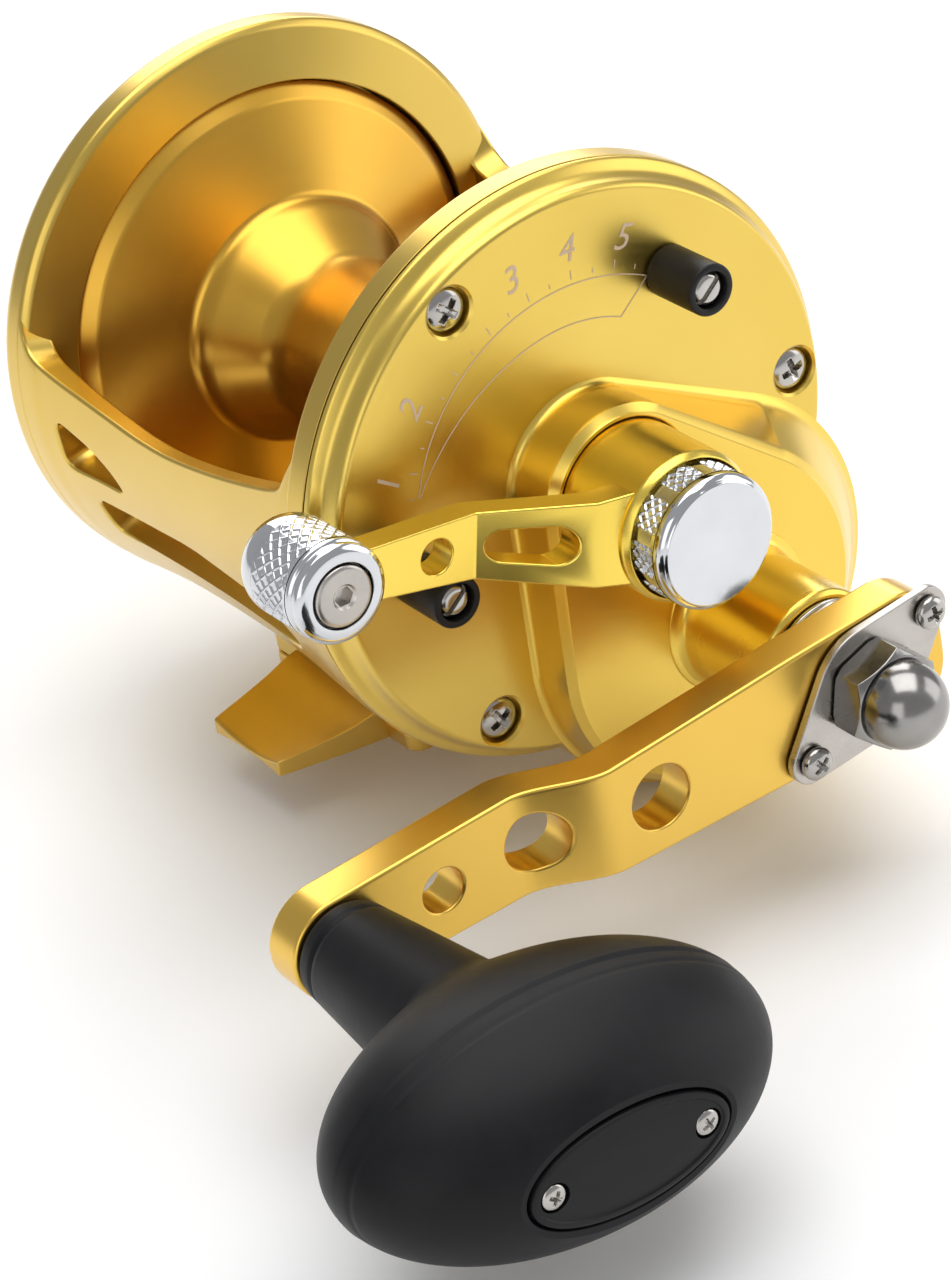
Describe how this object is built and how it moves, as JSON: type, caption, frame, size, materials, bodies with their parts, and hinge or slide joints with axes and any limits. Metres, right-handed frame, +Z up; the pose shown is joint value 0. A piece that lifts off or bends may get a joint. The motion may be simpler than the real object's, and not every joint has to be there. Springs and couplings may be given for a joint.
{
  "type": "trolling reel",
  "caption": "Lever-drag trolling reel with a one-piece open frame, geared crank handle with oval grip, drag lever with preset knob, and a rod foot.",
  "frame": {"origin": "centre of the flat seat under the reel foot", "axes": "+X along the spool axis towards the handle side, +Y forward away from the angler, +Z up away from the rod"},
  "size_m": [0.1773, 0.138, 0.0952],
  "materials": {
    "gold_anodised": "satin gold anodised, machined",
    "chrome_plate": "polished chrome, knurled grip bands",
    "stainless_steel": "stainless, brushed or polished",
    "gear_steel": "machined steel",
    "bronze": "cut gear bronze",
    "black_rubber": "soft matt black",
    "black_plastic": "moulded, matt black",
    "drag_carbon": "carbon fibre drag face"
  },
  "bodies": {
    "reel_frame": {"frame": "gold_anodised", "reel_foot": "gold_anodised", "foot_screw_1": "stainless_steel", "foot_screw_2": "stainless_steel", "foot_screw_3": "stainless_steel", "foot_screw_4": "stainless_steel", "side_plate": "gold_anodised", "side_plate_screw_1": "stainless_steel", "side_plate_screw_2": "stainless_steel", "side_plate_screw_3": "stainless_steel", "free_stop_sleeve": "black_rubber", "full_stop_sleeve": "black_rubber", "free_stop_screw": "stainless_steel", "full_stop_screw": "stainless_steel", "left_bearing_cap": "gold_anodised", "pinion_bearing": "stainless_steel", "fixed_cam": "gear_steel", "main_bearing_inner": "stainless_steel", "main_bearing_outer": "stainless_steel", "dog_pin": "stainless_steel", "dog_spring": "stainless_steel"},
    "lever_assembly": {"drag_lever": "gold_anodised", "lever_grip": "chrome_plate", "lever_grip_screw": "stainless_steel", "lever_cam": "gear_steel"},
    "preset": {"preset_knob": "chrome_plate"},
    "sliding_shaft": {"spool_shaft": "stainless_steel", "belleville_washer": "gear_steel"},
    "spool_assembly": {"spool": "gold_anodised", "drag_washer": "drag_carbon", "click_gear": "gear_steel", "spool_bearing_left": "stainless_steel", "spool_bearing_right": "stainless_steel"},
    "handle_assembly": {"main_gear": "bronze", "main_shaft": "stainless_steel", "ratchet_wheel": "gear_steel", "arm_collar": "stainless_steel", "handle_arm": "gold_anodised", "lock_plate": "stainless_steel", "lock_plate_screw_1": "stainless_steel", "lock_plate_screw_2": "stainless_steel", "cap_nut": "stainless_steel", "grip_spindle": "stainless_steel", "spindle_nut": "stainless_steel"},
    "pinion_assembly": {"pinion_gear": "gear_steel", "drag_rotor": "stainless_steel"},
    "grip_assembly": {"grip": "black_rubber", "grip_cap": "black_plastic", "grip_cap_screw_1": "stainless_steel", "grip_cap_screw_2": "stainless_steel"},
    "click_assembly": {"click_button": "gold_anodised", "click_pawl": "gear_steel"},
    "dog_body": {"anti_reverse_dog": "gear_steel"}
  },
  "joints": [
    {"name": "lever_swing", "type": "hinge", "parent": "reel_frame", "child": "lever_assembly", "pos_m": [0, 0, 0.0456], "axis": [-1, 0, 0], "range_deg": [0, 97]},
    {"name": "knob_turn", "type": "hinge", "parent": "lever_assembly", "child": "preset", "pos_m": [0, 0, 0.0456], "axis": [1, 0, 0], "range_deg": [-180, 180]},
    {"name": "shaft_slide", "type": "slide", "parent": "reel_frame", "child": "sliding_shaft", "axis": [1, 0, 0], "range_m": [0, 0.0005]},
    {"name": "spool_spin", "type": "hinge", "parent": "sliding_shaft", "child": "spool_assembly", "pos_m": [0, 0, 0.0456], "axis": [1, 0, 0], "continuous": true},
    {"name": "handle_turn", "type": "hinge", "parent": "reel_frame", "child": "handle_assembly", "pos_m": [0, 0.01526, 0.0207], "axis": [1, 0, 0], "continuous": true},
    {"name": "pinion_spin", "type": "hinge", "parent": "reel_frame", "child": "pinion_assembly", "pos_m": [0, 0, 0.0456], "axis": [1, 0, 0], "continuous": true},
    {"name": "grip_spin", "type": "hinge", "parent": "handle_assembly", "child": "grip_assembly", "pos_m": [0, -0.06444, 0.01667], "axis": [1, 0, 0], "continuous": true},
    {"name": "click_slide", "type": "slide", "parent": "reel_frame", "child": "click_assembly", "axis": [0, 0.9397, 0.342], "range_m": [0, 0.003]},
    {"name": "dog_lift", "type": "hinge", "parent": "reel_frame", "child": "dog_body", "pos_m": [0, 0.00434, 0.027], "axis": [1, 0, 0], "range_deg": [0, 8], "stiffness_Nm_per_rad": 0.01, "springref_deg": -5.73}
  ],
  "couplings": [
    {"joint": "shaft_slide", "follows": "lever_swing", "m_per_rad": 0.00029},
    {"joint": "pinion_spin", "follows": "handle_turn", "ratio": -4.6154}
  ]
}
